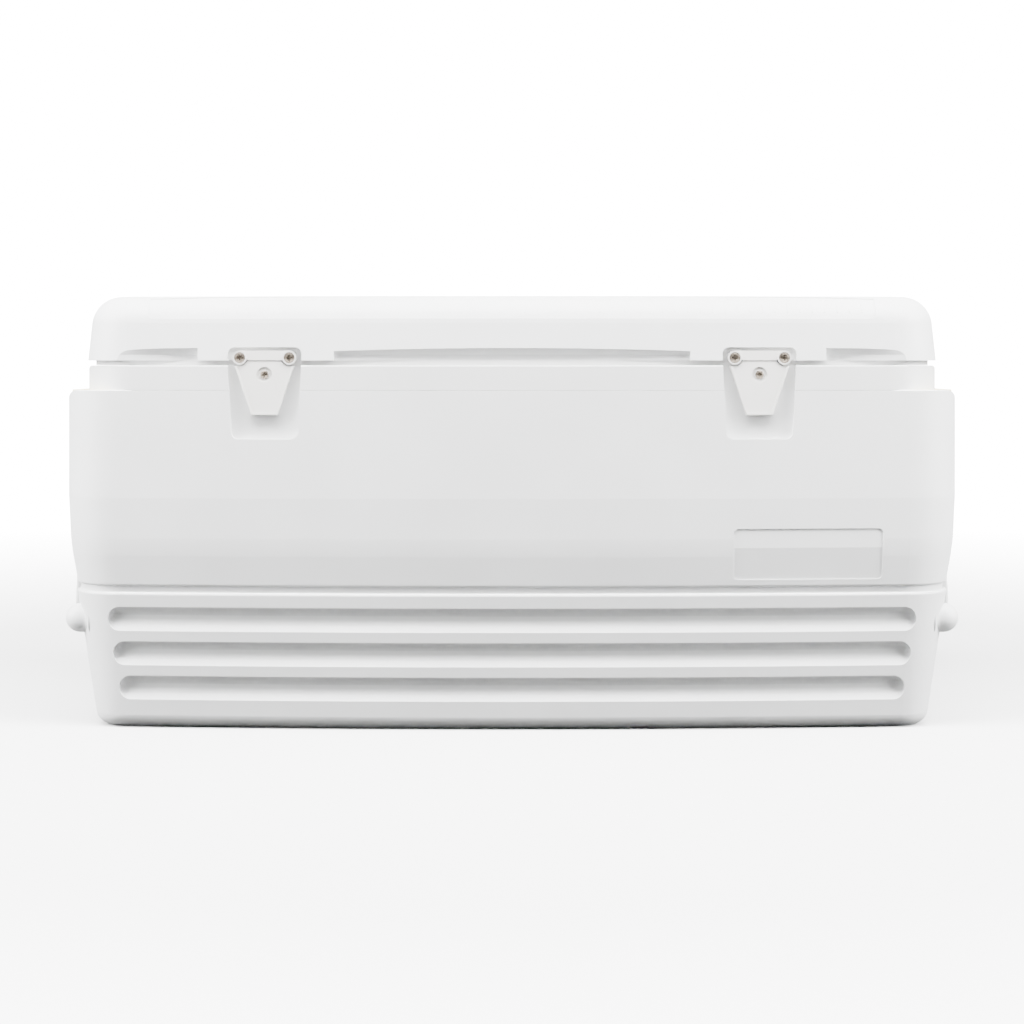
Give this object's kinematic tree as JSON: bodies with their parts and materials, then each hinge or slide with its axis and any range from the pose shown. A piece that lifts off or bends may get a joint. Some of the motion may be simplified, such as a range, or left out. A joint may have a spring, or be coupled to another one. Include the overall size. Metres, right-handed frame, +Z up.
{
  "type": "chest cooler",
  "caption": "Large white insulated chest cooler with a bowed ribbed tub, a hinged lid, swing-up end handles, a front latch and a drain",
  "frame": {"origin": "on the floor, under the middle of the tub", "axes": "+X along the chest, +Y towards the front (latch) side, +Z up; the hinges are on the -Y side"},
  "size_m": [0.9254, 0.4397, 0.4435],
  "materials": {
    "shell_white": "matte",
    "liner_white": "satin",
    "hinge_white": "satin",
    "handle_white": "matte",
    "foam": "matte",
    "steel": "satin",
    "seal": "matte"
  },
  "bodies": {
    "body": {"body_shell": "shell_white", "body_liner": "liner_white", "body_foam": "foam", "hinge_plate_left": "hinge_white", "hinge_plate_right": "hinge_white", "hinge_plate_screws": "steel", "handle_brackets_left": "handle_white", "handle_brackets_right": "handle_white", "handle_screws_left": "steel", "handle_screws_right": "steel", "drain_spout": "hinge_white", "drain_gasket": "seal", "drain_nut": "hinge_white", "latch_keeper": "hinge_white", "latch_keeper_screws": "steel"},
    "lid": {"lid_shell": "shell_white", "lid_liner": "liner_white", "lid_foam": "foam", "hinge_strap_left": "hinge_white", "hinge_strap_right": "hinge_white", "hinge_strap_screws": "steel", "latch_bracket": "hinge_white", "latch_pin": "steel", "latch_bracket_screws": "steel"},
    "latch": {"latch": "hinge_white"},
    "handle_left": {"handle_left": "handle_white"},
    "handle_right": {"handle_right": "handle_white"},
    "cap_seal": {"cap_seal": "seal"},
    "drain_cap": {"drain_cap": "hinge_white"}
  },
  "joints": [
    {"name": "lid_hinge", "type": "hinge", "parent": "body", "child": "lid", "pos_m": [0, -0.20856, 0.378], "axis": [1, 0, 0], "range_deg": [0, 100]},
    {"name": "latch_swing", "type": "hinge", "parent": "lid", "child": "latch", "pos_m": [0, 0.2096, 0.384], "axis": [1, 0, 0], "range_deg": [-9, 90]},
    {"name": "handle_left_swing", "type": "hinge", "parent": "body", "child": "handle_left", "pos_m": [-0.4447, 0, 0.262], "axis": [0, 1, 0], "range_deg": [0, 95]},
    {"name": "handle_right_swing", "type": "hinge", "parent": "body", "child": "handle_right", "pos_m": [0.4447, 0, 0.262], "axis": [0, -1, 0], "range_deg": [0, 95]},
    {"name": "cap_travel", "type": "slide", "parent": "body", "child": "cap_seal", "axis": [1, 0, 0], "range_m": [0, 0.006]},
    {"name": "cap_turn", "type": "hinge", "parent": "cap_seal", "child": "drain_cap", "pos_m": [0.445, 0, 0.054], "axis": [1, 0, 0], "range_deg": [0, 720]}
  ],
  "couplings": [
    {"joint": "cap_travel", "follows": "cap_turn", "m_per_rad": 0.00047746}
  ]
}
